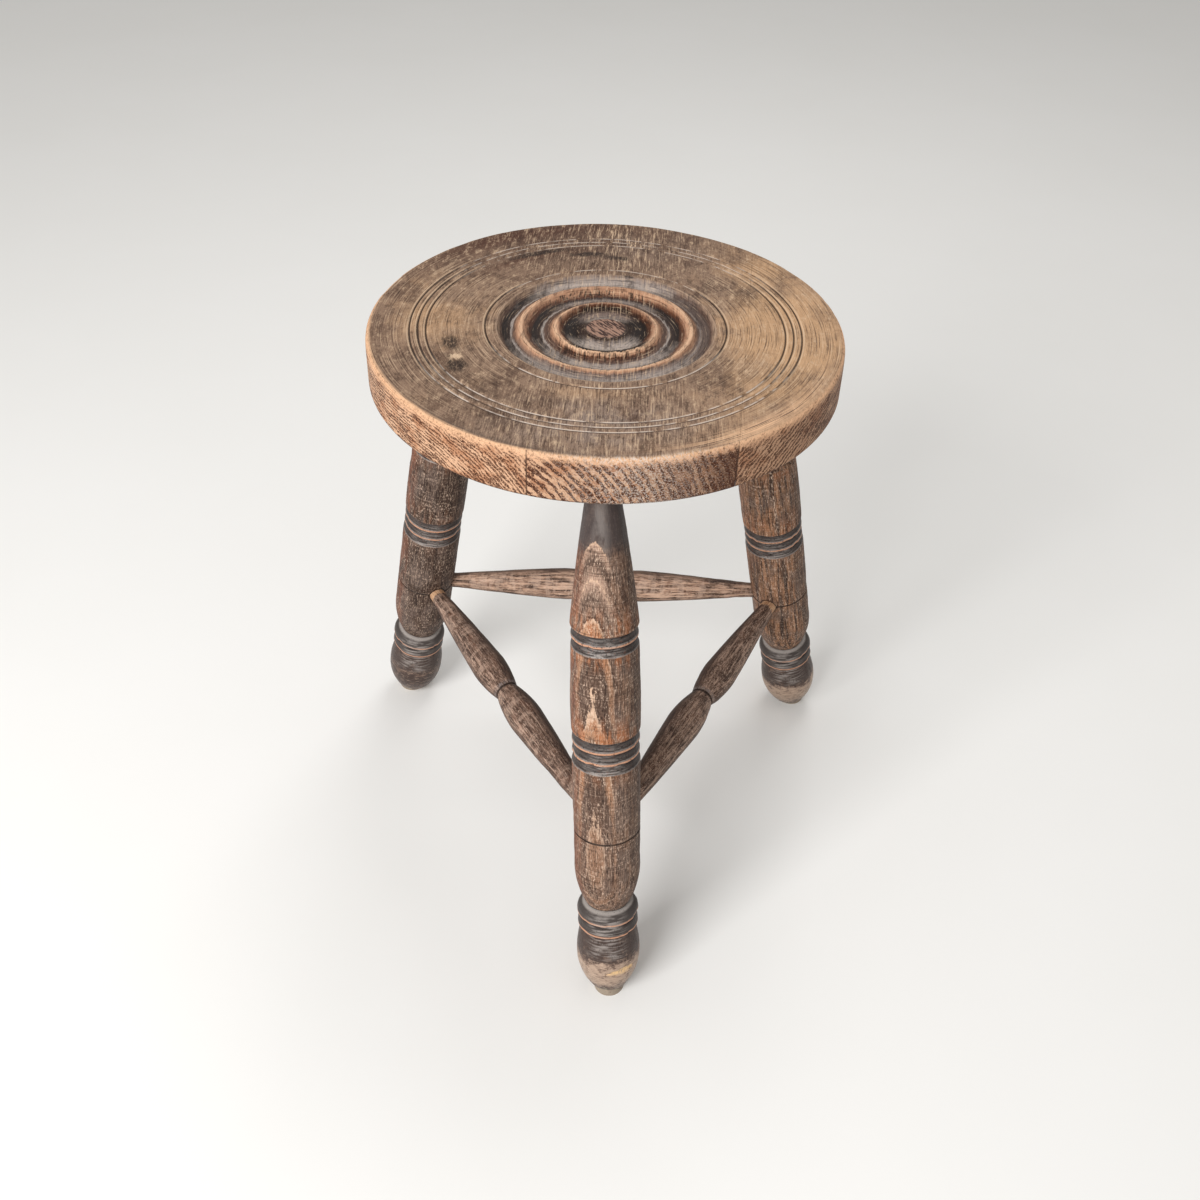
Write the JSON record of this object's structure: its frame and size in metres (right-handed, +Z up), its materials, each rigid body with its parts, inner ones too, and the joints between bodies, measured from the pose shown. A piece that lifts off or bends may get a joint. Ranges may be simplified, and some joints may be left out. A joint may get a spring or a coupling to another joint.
{
  "type": "tripod stool",
  "caption": "Round wooden stool on splayed turned legs tied by turned stretchers, with turned rings in a boarded seat.",
  "frame": {"origin": "on the floor, under the middle of the stool's bounding box", "axes": "+Z up, -Y towards the front leg and the camera, +X to the right as the picture shows it"},
  "size_m": [0.3739, 0.37, 0.423],
  "materials": {
    "seat_wood": "worn, weathered",
    "leg_wood": "dark stain, worn",
    "stretcher_wood": "dark stain, worn"
  },
  "bodies": {
    "root": {"seat_board_left": "seat_wood", "seat_board_middle": "seat_wood", "seat_board_right": "seat_wood", "leg_front": "leg_wood", "leg_rear_left": "leg_wood", "leg_rear_right": "leg_wood", "stretcher_left": "stretcher_wood", "stretcher_right": "stretcher_wood", "stretcher_rear": "stretcher_wood"}
  },
  "joints": []
}
